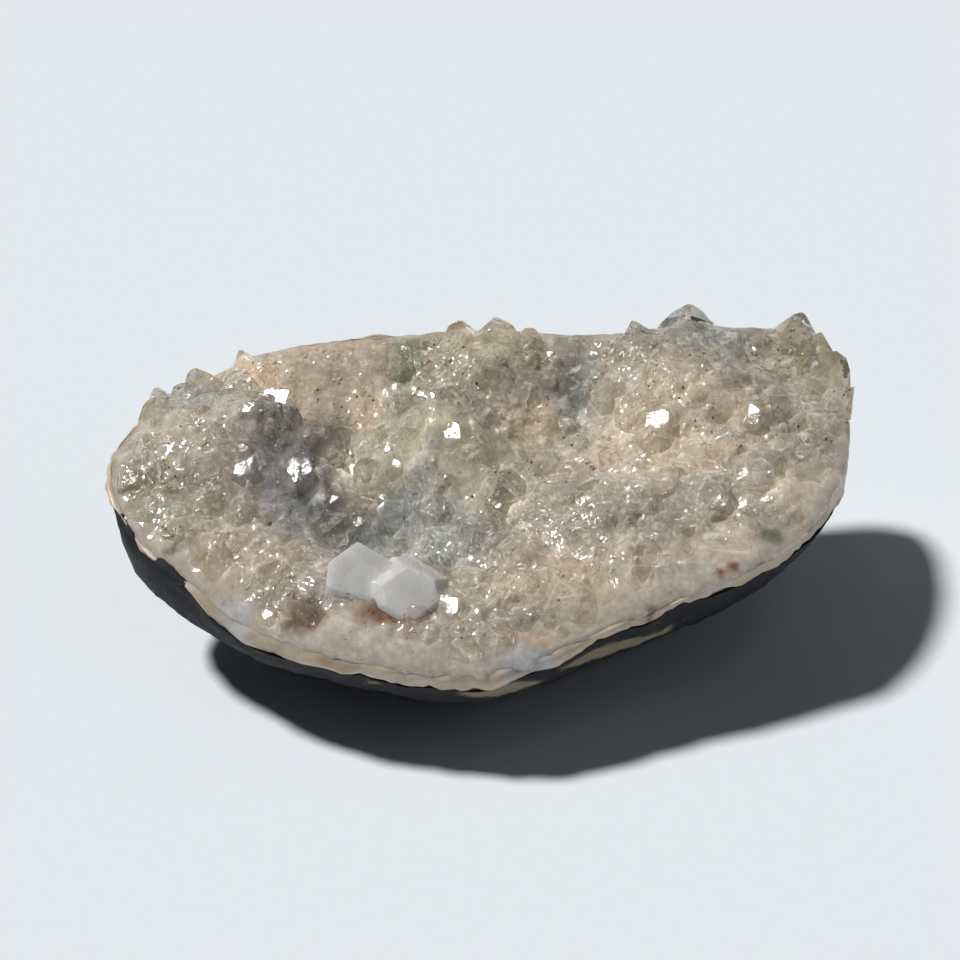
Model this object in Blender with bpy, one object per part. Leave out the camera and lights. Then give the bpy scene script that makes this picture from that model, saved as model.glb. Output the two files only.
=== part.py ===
"""A quartz druse on basalt: a boat-shaped shard of a lined cavity.

A dark basalt rind carries a cream chalcedony lining, and a crust of quartz crystals grows on it.
Places and sizes are in millimetres, and become metres where a mesh is made. +X runs along the
shard, -Y is the low front rim and +Z is up. The origin is under the middle of the shard, on the
surface that it rests on.
"""

import math
import random

import bmesh
import bpy
from mathutils import Matrix, Vector

MM = 0.001
GAP = 0.3  # between solids that touch
EDGE_GAP = 0.5  # the same along the cream band's slope, measured straight up
CUT_DEPTH = 8  # how deep the crust starts before its underside is cut
CUT_REACH = 1.3  # how far past the rim that cut goes, as a share of the way there

# The rim's outer corner, anticlockwise from the low front point: across, back and up, then how
# deep the cream band shows under it, how far in from it the crystals start, and how far the rind
# bulges out under it.
RIM = (
    (0, -34, 24, 5, 3, 1),
    (7, -33, 24, 4, 3, 1),
    (15, -29, 26, 3, 3, 1),
    (31, -22, 29, 3, 4, -1),
    (42, -18.5, 31, 3, 6, -2),
    (52, -13.5, 33, 4, 6, -3),
    (63, -8, 36, 5, 5, -2),
    (70, 1, 38, 7, 3, 0),
    (76, 13, 40, 9, 2, 3),
    (77, 27, 44, 8, 2, 1),
    (77, 41, 46, 9, 2, 0),
    (71, 50, 48, 8, 2, 0),
    (58, 47, 50, 8, 2, 0),
    (42, 46, 51, 7, 2, 0),
    (24, 44, 50, 7, 2, 0),
    (3, 46, 51, 7, 2, 0),
    (-18, 45, 50, 7, 2, 0),
    (-36, 43, 49, 7, 2, 0),
    (-49, 41, 47, 7, 3, 0),
    (-57, 36, 45, 7, 2, 0),
    (-68, 27, 43, 7, 2, 0),
    (-76, 16, 41, 7, 2, 1),
    (-75, 5, 39, 3, 2, 3),
    (-70, -4, 36, 2, 3, 4),
    (-62, -12, 33, 1.5, 4, 4),
    (-55, -17, 31, 2, 4, 4),
    (-51, -20, 29, 7, 4, 4),
    (-45, -24, 28, 4.5, 4, 3),
    (-34, -28.5, 26, 5, 5, 2),
    (-22, -31.5, 25, 5, 7, 1),
    (-9, -33.5, 24, 5, 5, 1),
)
MIDDLE = Vector((0, 8))  # every part of the rim can be seen from here
BOX_MIDDLE = Vector((0.6, 7.4))  # the middle of the shard's box, where the origin goes
SPOKES = 40  # from the middle to the rim

# The flat that the shard rests on.
FOOT_MIDDLE = Vector((1, 8))
FOOT_HALF_LENGTH = 29
FOOT_HALF_DEPTH = 15
# Flat chips off the outside: the direction they face, how far they face down, and their depth.
CHIPS = (
    (75, 40, 3),
    (115, 30, 3),
    (150, 45, 3),
    (25, 50, 3),
    (-62, 58, 2),
    (-112, 60, 2),
    (-150, 52, 2),
)
RIND_FLOOR = 8  # thickness of the rind over the flat
RIND_LIP = 3.4  # thickness of the rind at its upper edge

# The druse's own mounds and hollows over its dish: across, back, height, and half-width each way.
DISH_MIDDLE_HEIGHT = 33
MOUNDS = (
    (-58, 16, 7, 13, 12),
    (-45, 15, 12, 9, 11),
    (-38, 38, 3, 15, 8),
    (-27, 19, -5, 7, 9),
    (-8, 17, 13, 12, 11),
    (3, 36, 6, 11, 8),
    (14, 24, 1, 7, 8),
    (-22, 1, -14, 9, 8),
    (-3, -9, -4, 9, 8),
    (22, 30, -5, 4, 10),
    (44, 28, 12, 19, 15),
    (28, 2, 5, 15, 12),
    (54, 4, 4, 12, 10),
    (66, 36, -3, 5, 6),
    (70, 44, 3, 6, 6),
    (-26, -18, 2, 10, 5),
)
CRUST = 1.8  # thickness of the crystal crust between its crystals
BROW_DROP = 0.3  # where the cream band starts to round over, as a share of its depth

# The crystals that stand out: across, back, width, length, then the lean to the right and to the
# back in degrees, a turn about their own axis and how flat the point is.
LARGE_CRYSTALS = (
    # left mound: its right flank and its crest
    (-42, 12, 10, 9, 10, -15, 10, 0.5),
    (-37, 8, 10, 8, 25, -10, 35, 0.4),
    (-33, 1, 10, 8, 30, -20, 0, 0.5),
    (-36, -8, 8, 7, 10, -30, 20, 0.5),
    (-34, 19, 10, 7, 50, 10, 5, 0.4),
    (-42, 24, 10, 7, 10, 20, 40, 0.4),
    (-50, 27, 10, 7, 0, 25, 15, 0.5),
    (-58, 29, 9, 7, 0, 20, 50, 0.6),
    (-66, 23, 8, 5, -20, 10, 0, 0.7),
    (-62, 6, 8, 5, -10, -10, 30, 0.4),
    (-54, 2, 9, 5, -5, -20, 10, 0.4),
    (-48, -8, 9, 5, 0, -30, 40, 0.4),
    (-60, -4, 8, 5, -20, -30, 25, 0.4),
    # centre mound
    (-3, 10, 13, 9, 10, -20, 15, 0.3),
    (-6, 19, 8, 7, 15, -10, 0, 0.6),
    (-15, 22, 8, 6, -20, 0, 20, 0.5),
    (-21, 12, 9, 7, -25, -25, 10, 0.4),
    (-9, 3, 7, 8, -5, -35, 30, 0.15),
    (4, 7, 6, 10, 15, -35, 0, 0.3),
    (-14, 14, 7, 6, -10, -15, 50, 0.4),
    (-1, -1, 8, 6, 20, -40, 10, 0.4),
    # the two white crystals by the front lip
    (-14, -15, 14, 10, 8, -25, 8, 0.8),
    (-25, -13, 12, 9, -35, -20, 40, 0.4),
    (-3, -12, 8, 7, 20, -30, 0, 0.4),
    # right front slope
    (9, -6, 12, 8, 5, -30, 20, 0.4),
    (10, -16, 11, 8, 25, -35, 5, 0.4),
    (21, -10, 11, 7, 0, -30, 45, 0.4),
    (17, 4, 11, 6, 5, -30, 10, 0.4),
    (17, 12, 5, 5, 60, -10, 0, 0.3),
    # right mound
    (27, 14, 9, 7, -20, -20, 30, 0.4),
    (36, 14, 11, 8, 0, -25, 10, 0.5),
    (46, 12, 11, 6, 5, -25, 35, 0.4),
    (56, 18, 10, 7, 15, -20, 0, 0.5),
    (33, 24, 11, 7, -10, -10, 50, 0.4),
    (48, 24, 12, 7, 5, -10, 15, 0.4),
    (34, 2, 11, 6, -5, -35, 20, 0.4),
    (45, 0, 9, 7, 10, -35, 40, 0.4),
    (54, 6, 10, 7, 20, -30, 10, 0.4),
    (64, 10, 10, 7, 25, -25, 30, 0.4),
    (62, 26, 11, 7, 25, 0, 5, 0.4),
    (70, 20, 8, 6, 30, -10, 45, 0.4),
    (46, -7, 5, 8, 70, -20, 0, 0.3),
    # back crest, from the left
    (-50, 37, 7, 4, -15, 15, 10, 0.6),
    (0, 41, 9, 4, -10, 20, 35, 0.5),
    (9, 39, 10, 4, 10, 15, 0, 0.4),
    (30, 37, 8, 5, -15, 15, 20, 0.4),
    (43, 38, 16, 8, -10, 10, 0, 0.1),
    (52, 36, 10, 6, 15, 15, 25, 0.5),
    (60, 38, 8, 6, 20, 15, 40, 0.5),
    (68, 44, 11, 6, 10, 20, 0, 0.4),
)

# The small crystals that fill the room between.
FILL_SEED = 11
FILL_TRIES = 2200
FILL_COUNT = 100
FILL_WIDTHS = (6, 10)
FILL_SPACING = 0.66  # of the two crystals' mean width
CALM_SLOPE = (-34, 33, 17, 12)  # a sugary slope with hardly a crystal: middle and half-widths
ROOT = 3  # how far a crystal reaches down into the crust

BASALT = ((0.03, 0.031, 0.036), 0.8)
CHALCEDONY = ((0.56, 0.48, 0.38), 0.35)
QUARTZ = ((0.42, 0.38, 0.31), 0.12)


def clear_scene():
    for item in list(bpy.data.objects):
        bpy.data.objects.remove(item, do_unlink=True)


def material(name, finish):
    """A Principled material with the part's own colour and roughness."""
    colour, roughness = finish
    made = bpy.data.materials.new(name)
    made.use_nodes = True
    made.diffuse_color = (*colour, 1)
    shader = made.node_tree.nodes["Principled BSDF"]
    shader.inputs["Base Color"].default_value = (*colour, 1)
    shader.inputs["Roughness"].default_value = roughness
    shader.inputs["Metallic"].default_value = 0
    return made


def link(name, mesh, finish=None):
    """A new object of a mesh, with a material of its own where it is part of the druse."""
    made = bpy.data.objects.new(name, mesh)
    bpy.context.scene.collection.objects.link(made)
    if finish:
        mesh.materials.append(material(name, finish))
    return made


def between(low, high, share):
    return low + (high - low) * share


def rim_spokes():
    """The rim's stations read at even steps along the rim: one for each spoke."""
    ring = RIM + RIM[:1]
    steps = [math.dist(a[:2], b[:2]) for a, b in zip(ring, ring[1:])]
    spokes = []
    for i in range(SPOKES):
        along = sum(steps) * i / SPOKES
        k = 0
        while along > steps[k]:
            along -= steps[k]
            k += 1
        spokes.append([between(a, b, along / steps[k]) for a, b in zip(ring[k], ring[k + 1])])
    return spokes


RIM_SPOKES = rim_spokes()
SPOKE_ANGLES = [math.atan2(y - MIDDLE.y, x - MIDDLE.x) for x, y, *_ in RIM_SPOKES]


def spoke_at(x, y):
    """The rim station in the direction of a point, and how far out the point is: 1 at the rim."""
    angle = math.atan2(y - MIDDLE.y, x - MIDDLE.x)
    for i, a in enumerate(SPOKE_ANGLES):
        j = (i + 1) % SPOKES
        turn = (SPOKE_ANGLES[j] - a) % math.tau
        offset = (angle - a) % math.tau
        if offset <= turn:
            share = offset / turn
            break
    station = [between(p, q, share) for p, q in zip(RIM_SPOKES[i], RIM_SPOKES[j])]
    reach = math.dist(station[:2], MIDDLE)
    return station, math.dist((x, y), MIDDLE) / reach


def relief(x, y):
    """The height of the druse between its crystals."""
    station, out = spoke_at(x, y)
    height = between(DISH_MIDDLE_HEIGHT, station[2], min(out, 1) ** 2)
    inner = 1 - min(out, 1) ** 6
    for mound_x, mound_y, rise, half_x, half_y in MOUNDS:
        distance = ((x - mound_x) / half_x) ** 2 + ((y - mound_y) / half_y) ** 2
        height += inner * rise * math.exp(-distance)
    return height


def point_on_spoke(station, share):
    x, y = station[:2]
    return between(MIDDLE.x, x, share), between(MIDDLE.y, y, share)


def rounded_outside(station, share):
    """A point of the outer face before its chips: share 0 is the foot's edge, share 1 the rim."""
    x, y, z = station[:3]
    angle = math.atan2((y - FOOT_MIDDLE.y) / FOOT_HALF_DEPTH, (x - FOOT_MIDDLE.x) / FOOT_HALF_LENGTH)
    foot_x = FOOT_MIDDLE.x + FOOT_HALF_LENGTH * math.cos(angle)
    foot_y = FOOT_MIDDLE.y + FOOT_HALF_DEPTH * math.sin(angle)
    turn = share * math.pi / 2
    run = math.dist((x, y), (foot_x, foot_y))
    out = math.sin(turn) ** 1.1 + station[5] / run * math.sin(2 * turn)
    up = (1 - math.cos(turn)) ** 0.86
    return between(foot_x, x, out), between(foot_y, y, out), z * up


def chip_planes():
    """Each chip as the direction that it faces and how far out it lies."""
    points = [Vector(rounded_outside(s, k / 8)) for s in RIM_SPOKES for k in range(9)]
    planes = []
    for direction, down, depth in CHIPS:
        turn = Matrix.Rotation(math.radians(direction), 3, "Z") @ Matrix.Rotation(math.radians(down), 3, "Y")
        facing = turn @ Vector((1, 0, 0))
        planes.append((facing, max(facing.dot(p) for p in points) - depth))
    return planes


CHIP_PLANES = chip_planes()


def outside(station, share):
    """A point of the outer face, moved in to the flat of any chip there."""
    point = Vector(rounded_outside(station, share))
    for facing, reach in CHIP_PLANES:
        over = facing.dot(point) - reach
        if over > 0:
            level = facing.xy
            point.xy -= level * over / level.length_squared
    return tuple(point)


def outside_at_height(station, height):
    """The point of the outer face at a height, found by halving."""
    low, high = 0, 1
    for _ in range(24):
        share = (low + high) / 2
        if outside(station, share)[2] < height:
            low = share
        else:
            high = share
    return share


def rind_bowl(station, share):
    """A point of the rind's inner face: share 1 is its lip."""
    edge_height = station[2] - station[3]
    x, y, _ = outside(station, outside_at_height(station, edge_height))
    reach = math.dist((x, y), MIDDLE)
    lip = 1 - RIND_LIP / reach
    point = between(MIDDLE.x, x, lip * share), between(MIDDLE.y, y, lip * share)
    return *point, between(RIND_FLOOR, edge_height, share ** 2.6)


def skin(name, rings, finish=None):
    """One closed solid: rings of points from the lower pole round to the upper pole."""
    shape = bmesh.new()
    loops = []
    for ring in rings:
        loops.append([shape.verts.new(Vector(p) * MM) for p in ring])
    for lower, upper in zip(loops, loops[1:]):
        longer = lower if len(lower) > len(upper) else upper
        for i in range(len(longer)):
            j = (i + 1) % len(longer)
            if len(lower) == 1:
                shape.faces.new((lower[0], upper[j], upper[i]))
            elif len(upper) == 1:
                shape.faces.new((lower[i], lower[j], upper[0]))
            else:
                shape.faces.new((lower[i], lower[j], upper[j], upper[i]))
    bmesh.ops.triangulate(shape, faces=shape.faces[:])
    bmesh.ops.recalc_face_normals(shape, faces=shape.faces[:])
    mesh = bpy.data.meshes.new(name)
    shape.to_mesh(mesh)
    shape.free()
    return link(name, mesh, finish)


def basalt_rind():
    """The dark shell: a flat foot, a bulging outer face and a bowl inside."""
    rings = [[(*MIDDLE, 0)]]
    rings.append([outside(s, 0) for s in RIM_SPOKES])
    for share in (0.3, 0.52, 0.7):
        rings.append([outside(s, share) for s in RIM_SPOKES])
    rings.append([outside(s, outside_at_height(s, s[2] - s[3])) for s in RIM_SPOKES])
    for share in (1, 0.88, 0.68, 0.4):
        rings.append([rind_bowl(s, share) for s in RIM_SPOKES])
    rings.append([(*MIDDLE, RIND_FLOOR)])
    return skin("basalt_rind", rings, BASALT)


def crust_edge(station):
    """How far out the crystals start, as a share of the way to the rim."""
    return 1 - station[4] / math.dist(station[:2], MIDDLE)


def lining_top(station, share):
    x, y = point_on_spoke(station, share * crust_edge(station))
    return x, y, relief(x, y) - CRUST - GAP


def brow(station):
    """Where the cream band turns from the outer face to the top."""
    x, y = point_on_spoke(station, between(1, crust_edge(station), 0.35))
    return x, y, relief(x, y)


LINING_SHARES = (1, 0.83, 0.64, 0.44, 0.22)


def chalcedony_lining():
    """The cream layer: it lies in the rind's bowl, and its edge is the band under the rim."""
    rings = [[(*MIDDLE, RIND_FLOOR + GAP)]]
    for share in (0.4, 0.68, 0.88, 1):
        rings.append([lifted(rind_bowl(s, share), GAP) for s in RIM_SPOKES])
    edge = []
    for s in RIM_SPOKES:
        edge.append(outside(s, outside_at_height(s, s[2] - s[3] + GAP)))
    rings.append(edge)
    rings.append([outside(s, outside_at_height(s, s[2] - s[3] * BROW_DROP)) for s in RIM_SPOKES])
    rings.append([brow(s) for s in RIM_SPOKES])
    for share in LINING_SHARES:
        rings.append([lining_top(s, share) for s in RIM_SPOKES])
    rings.append([(*MIDDLE, relief(*MIDDLE) - CRUST - GAP)])
    return skin("chalcedony_lining", rings, CHALCEDONY)


def lifted(point, rise):
    return point[0], point[1], point[2] + rise


def crust_sheet():
    """The crust without its crystals, deeper than it will be."""
    rings = [[(*MIDDLE, relief(*MIDDLE) - CUT_DEPTH)]]
    for share in reversed(LINING_SHARES):
        rings.append([lifted(lining_top(s, share), -CUT_DEPTH) for s in RIM_SPOKES])
    for share in LINING_SHARES:
        rings.append([lifted(lining_top(s, share), GAP + CRUST) for s in RIM_SPOKES])
    rings.append([(*MIDDLE, relief(*MIDDLE))])
    return skin("crystal_crust", rings, QUARTZ)


def room_of_lining():
    """The lining and a gap over it, reaching out past the rim: it cuts the crust's underside."""
    rings = [[(*MIDDLE, 0)]]
    rings.append([(*point_on_spoke(s, CUT_REACH), 0) for s in RIM_SPOKES])
    rings.append([(*point_on_spoke(s, CUT_REACH), s[2]) for s in RIM_SPOKES])
    rings.append([(*point_on_spoke(s, 1), s[2] + EDGE_GAP) for s in RIM_SPOKES])
    rings.append([lifted(brow(s), EDGE_GAP) for s in RIM_SPOKES])
    rings.append([lifted(lining_top(s, 1), EDGE_GAP) for s in RIM_SPOKES])
    for share in LINING_SHARES[1:]:
        rings.append([lifted(lining_top(s, share), GAP) for s in RIM_SPOKES])
    rings.append([(*MIDDLE, relief(*MIDDLE) - CRUST)])
    room = skin("room_of_lining", rings)
    room.hide_render = True
    room.display_type = "WIRE"
    return room


def quartz_crystal(width, length, flatness, seed):
    """A six-sided prism on the origin with a blunt point, a little uneven as grown ones are."""
    chance = random.Random(seed)
    radii = [width / 2 * chance.uniform(0.85, 1.1) for _ in range(6)]
    shape = bmesh.new()
    shoulder = length - width * between(0.6, 0.1, flatness)
    rings = []
    for height in (-ROOT, shoulder):
        ring = []
        for k in range(6):
            angle = math.tau * k / 6
            ring.append(shape.verts.new((radii[k] * math.cos(angle), radii[k] * math.sin(angle), height)))
        rings.append(ring)
    tip = shape.verts.new((width * chance.uniform(-0.12, 0.12), width * chance.uniform(-0.12, 0.12), length))
    for k in range(6):
        shape.faces.new((rings[0][k], rings[0][k - 5], rings[1][k - 5], rings[1][k]))
        shape.faces.new((rings[1][k], rings[1][k - 5], tip))
    shape.faces.new(rings[0][::-1])
    return shape


def crystals():
    """Every crystal: across, back, width, length, leans, turn and flatness."""
    placed = list(LARGE_CRYSTALS)
    chance = random.Random(FILL_SEED)
    xs = [s[0] for s in RIM]
    ys = [s[1] for s in RIM]
    for _ in range(FILL_TRIES):
        x = chance.uniform(min(xs), max(xs))
        y = chance.uniform(min(ys), max(ys))
        width = chance.uniform(*FILL_WIDTHS)
        turn = chance.uniform(0, 60)
        lean = chance.uniform(-12, 12)
        flatness = chance.uniform(0.2, 0.6)
        station, out = spoke_at(x, y)
        if out > crust_edge(station) - width * 0.35 / math.dist(station[:2], MIDDLE):
            continue
        calm_x, calm_y, half_x, half_y = CALM_SLOPE
        if ((x - calm_x) / half_x) ** 2 + ((y - calm_y) / half_y) ** 2 < 1:
            continue
        if any(math.dist((x, y), p[:2]) < FILL_SPACING * (width + p[2]) / 2 for p in placed):
            continue
        slope_x = relief(x + 2, y) - relief(x - 2, y)
        slope_y = relief(x, y + 2) - relief(x, y - 2)
        lean_x = -math.degrees(math.atan(slope_x / 4)) * 0.7 + lean
        lean_y = -math.degrees(math.atan(slope_y / 4)) * 0.7 + lean
        placed.append((x, y, width, width * 0.45, lean_x, lean_y, turn, flatness))
        if len(placed) == len(LARGE_CRYSTALS) + FILL_COUNT:
            break
    return placed


def crystal_crust():
    """The crust with its crystals, grown together into one solid."""
    crust = crust_sheet()
    grown = bpy.data.collections.new("crystals")
    bpy.context.scene.collection.children.link(grown)
    for number, (x, y, width, length, lean_x, lean_y, turn, flatness) in enumerate(crystals()):
        shape = quartz_crystal(width, length, flatness, number)
        lean = Matrix.Rotation(math.radians(lean_x), 4, "Y") @ Matrix.Rotation(math.radians(-lean_y), 4, "X")
        place = Matrix.Translation((x, y, relief(x, y)))
        shape.transform(Matrix.Scale(MM, 4) @ place @ lean @ Matrix.Rotation(math.radians(turn), 4, "Z"))
        mesh = bpy.data.meshes.new("crystal")
        shape.to_mesh(mesh)
        shape.free()
        piece = bpy.data.objects.new("crystal", mesh)
        grown.objects.link(piece)
        piece.hide_render = True
        piece.display_type = "WIRE"
    union = crust.modifiers.new("grown together", "BOOLEAN")
    union.operation = "UNION"
    union.operand_type = "COLLECTION"
    union.collection = grown
    underside = crust.modifiers.new("on the lining", "BOOLEAN")
    underside.operation = "DIFFERENCE"
    underside.object = room_of_lining()
    return crust


def centre_on_origin():
    """Move the whole shard so that the origin is under the middle of its box."""
    for item in bpy.data.objects:
        item.location = (-BOX_MIDDLE.x * MM, -BOX_MIDDLE.y * MM, 0)


def main():
    clear_scene()
    basalt_rind()
    chalcedony_lining()
    crystal_crust()
    centre_on_origin()


main()
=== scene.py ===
"""A quartz druse on basalt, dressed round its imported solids: rind, lining, crystals and stage."""

import math
import random

import bmesh
import bpy
from bpy.props import FloatProperty, FloatVectorProperty, IntProperty, PointerProperty
from mathutils import Matrix, Vector, noise
from mathutils.bvhtree import BVHTree
from mathutils.kdtree import KDTree


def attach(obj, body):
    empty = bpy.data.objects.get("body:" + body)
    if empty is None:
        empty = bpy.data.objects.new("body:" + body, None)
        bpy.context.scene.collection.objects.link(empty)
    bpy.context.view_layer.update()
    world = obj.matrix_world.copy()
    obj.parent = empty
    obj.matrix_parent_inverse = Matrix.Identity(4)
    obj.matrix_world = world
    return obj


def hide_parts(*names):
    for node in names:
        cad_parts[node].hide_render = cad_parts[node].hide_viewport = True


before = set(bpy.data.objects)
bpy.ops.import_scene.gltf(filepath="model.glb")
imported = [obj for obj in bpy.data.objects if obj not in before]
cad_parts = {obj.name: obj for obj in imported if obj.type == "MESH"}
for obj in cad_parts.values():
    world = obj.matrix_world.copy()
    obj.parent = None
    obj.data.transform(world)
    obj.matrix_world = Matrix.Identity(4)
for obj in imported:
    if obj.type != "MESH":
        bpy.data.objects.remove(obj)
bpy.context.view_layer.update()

bl_info = {
    "name": "Quartz druse",
    "version": (1, 0, 0),
    "blender": (4, 5, 0),
    "location": "View3D > Sidebar > Druse",
    "description": "Dresses a shard of a crystal-lined basalt cavity",
    "category": "Object",
}

MM = 0.001
BOX_MIDDLE = Vector((0.6, 7.4))  # in the design's own millimetres, which the lists here are in
FOOT_HEIGHT = 1.5  # how far up the rind's relief fades out toward the flat that it rests on

# The rim as the solids have it: across, back, up, depth of the cream band, inset of the crystals
# and bulge of the wall below.
RIM = (
    (0, -34, 24, 5, 3, 1),
    (7, -33, 24, 4, 3, 1),
    (15, -29, 26, 3, 3, 1),
    (31, -22, 29, 3, 4, -1),
    (42, -18.5, 31, 3, 6, -2),
    (52, -13.5, 33, 4, 6, -3),
    (63, -8, 36, 5, 5, -2),
    (70, 1, 38, 7, 3, 0),
    (76, 13, 40, 9, 2, 3),
    (77, 27, 44, 8, 2, 1),
    (77, 41, 46, 9, 2, 0),
    (71, 50, 48, 8, 2, 0),
    (58, 47, 50, 8, 2, 0),
    (42, 46, 51, 7, 2, 0),
    (24, 44, 50, 7, 2, 0),
    (3, 46, 51, 7, 2, 0),
    (-18, 45, 50, 7, 2, 0),
    (-36, 43, 49, 7, 2, 0),
    (-49, 41, 47, 7, 3, 0),
    (-57, 36, 45, 7, 2, 0),
    (-68, 27, 43, 7, 2, 0),
    (-76, 16, 41, 7, 2, 1),
    (-75, 5, 39, 3, 2, 3),
    (-70, -4, 36, 2, 3, 4),
    (-62, -12, 33, 1.5, 4, 4),
    (-55, -17, 31, 2, 4, 4),
    (-51, -20, 29, 7, 4, 4),
    (-45, -24, 28, 4.5, 4, 3),
    (-34, -28.5, 26, 5, 5, 2),
    (-22, -31.5, 25, 5, 7, 1),
    (-9, -33.5, 24, 5, 5, 1),
)
MIDDLE = Vector((0, 8))
SPOKES = 40
DISH_MIDDLE_HEIGHT = 33
# The dish's mounds and, where the rise is less than 0, hollows: across, back, rise, half-widths.
MOUNDS = (
    (-58, 16, 7, 13, 12),
    (-45, 15, 12, 9, 11),
    (-38, 38, 3, 15, 8),
    (-27, 19, -5, 7, 9),
    (-8, 17, 13, 12, 11),
    (3, 36, 6, 11, 8),
    (14, 24, 1, 7, 8),
    (-22, 1, -14, 9, 8),
    (-3, -9, -4, 9, 8),
    (22, 30, -5, 4, 10),
    (44, 28, 12, 19, 15),
    (28, 2, 5, 15, 12),
    (54, 4, 4, 12, 10),
    (66, 36, -3, 5, 6),
    (70, 44, 3, 6, 6),
    (-26, -18, 2, 10, 5),
)

# The crystals that stand out, as the solids have them: across, back, width, length, lean to the
# right, lean to the back, and turn.
LARGE_CRYSTALS = (
    (-42, 12, 10, 9, 10, -15, 10),
    (-37, 8, 10, 8, 25, -10, 35),
    (-33, 1, 10, 8, 30, -20, 0),
    (-36, -8, 8, 7, 10, -30, 20),
    (-34, 19, 10, 7, 50, 10, 5),
    (-42, 24, 10, 7, 10, 20, 40),
    (-50, 27, 10, 7, 0, 25, 15),
    (-58, 29, 9, 7, 0, 20, 50),
    (-66, 23, 8, 5, -20, 10, 0),
    (-62, 6, 8, 5, -10, -10, 30),
    (-54, 2, 9, 5, -5, -20, 10),
    (-48, -8, 9, 5, 0, -30, 40),
    (-60, -4, 8, 5, -20, -30, 25),
    (-3, 10, 13, 9, 10, -20, 15),
    (-6, 19, 8, 7, 15, -10, 0),
    (-15, 22, 8, 6, -20, 0, 20),
    (-21, 12, 9, 7, -25, -25, 10),
    (-9, 3, 7, 8, -5, -35, 30),
    (4, 7, 6, 10, 15, -35, 0),
    (-14, 14, 7, 6, -10, -15, 50),
    (-1, -1, 8, 6, 20, -40, 10),
    (-14, -15, 14, 10, 8, -25, 8),
    (-25, -13, 12, 9, -35, -20, 40),
    (-3, -12, 8, 7, 20, -30, 0),
    (9, -6, 12, 8, 5, -30, 20),
    (10, -16, 11, 8, 25, -35, 5),
    (21, -10, 11, 7, 0, -30, 45),
    (17, 4, 11, 6, 5, -30, 10),
    (17, 12, 5, 5, 60, -10, 0),
    (27, 14, 9, 7, -20, -20, 30),
    (36, 14, 11, 8, 0, -25, 10),
    (46, 12, 11, 6, 5, -25, 35),
    (56, 18, 10, 7, 15, -20, 0),
    (33, 24, 11, 7, -10, -10, 50),
    (48, 24, 12, 7, 5, -10, 15),
    (34, 2, 11, 6, -5, -35, 20),
    (45, 0, 9, 7, 10, -35, 40),
    (54, 6, 10, 7, 20, -30, 10),
    (64, 10, 10, 7, 25, -25, 30),
    (62, 26, 11, 7, 25, 0, 5),
    (70, 20, 8, 6, 30, -10, 45),
    (46, -7, 5, 8, 70, -20, 0),
    (-50, 37, 7, 4, -15, 15, 10),
    (0, 41, 9, 4, -10, 20, 35),
    (9, 39, 10, 4, 10, 15, 0),
    (30, 37, 8, 5, -15, 15, 20),
    (43, 38, 16, 8, -10, 10, 0),
    (52, 36, 10, 6, 15, 15, 25),
    (60, 38, 8, 6, 20, 15, 40),
    (68, 44, 11, 6, 10, 20, 0),
)
WHITE_CRYSTALS = ((-14, -15), (-25, -13))
WHITE_FORWARD = 3  # how much nearer the lip the white crystals are than in the solids
# Crystals on the brink, too slight for the solids: as above.
BRINK_CRYSTALS = (
    (44, 43, 13, 8, 0, 15, 10),
    (34, 42, 9, 5, -15, 15, 40),
    (52, 43, 9, 4, 10, 15, 20),
    (60, 43, 8, 4, 0, 15, 50),
    (66, 44, 12, 6, 5, 20, 0),
    (71, 42, 11, 6, 25, 15, 30),
    (74, 35, 10, 6, 35, 5, 10),
    (75, 27, 8, 4, 35, 0, 40),
    (-5, 43, 9, 5, -10, 15, 0),
    (3, 43, 10, 5, 5, 15, 25),
    (11, 42, 8, 4, 10, 10, 50),
    (20, 41, 7, 3, 0, 10, 10),
    (-66, 25, 8, 4, -15, 15, 20),
    (-61, 29, 7, 4, -10, 20, 45),
    (-45, 33, 7, 5, 0, 15, 5),
)
# The smaller crystals that the solids have between them.
FILL_SEED = 11
FILL_TRIES = 2200
FILL_COUNT = 100
FILL_WIDTHS = (6, 10)
FILL_SPACING = 0.66  # the least distance between two, as a share of their mean width
CALM_SLOPE = (-34, 33, 17, 12)  # the slope with hardly a crystal: across, back and half-widths
ROOT = 3  # how far a large crystal goes down into the druse
# What is strewn for looks alone.
MASS_SEED = 5
POINTS_SEED = 6
GRAINS_SEED = 23
SPECKS_SEED = 29
DRUSE_ACROSS = (-78, 79)
DRUSE_BACK = (-35, 51)
TRIES_EACH = 6  # places tried for each crystal
SUNK = 0.17  # how deep a strewn crystal stands, as a share of its width
TIP_SLANT = math.radians(52)  # between the crystal's length and the facing of its end faces
BODY_GAIN = 1.75  # how much paler a body is than the crystal looks, with its light lost inside

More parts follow.
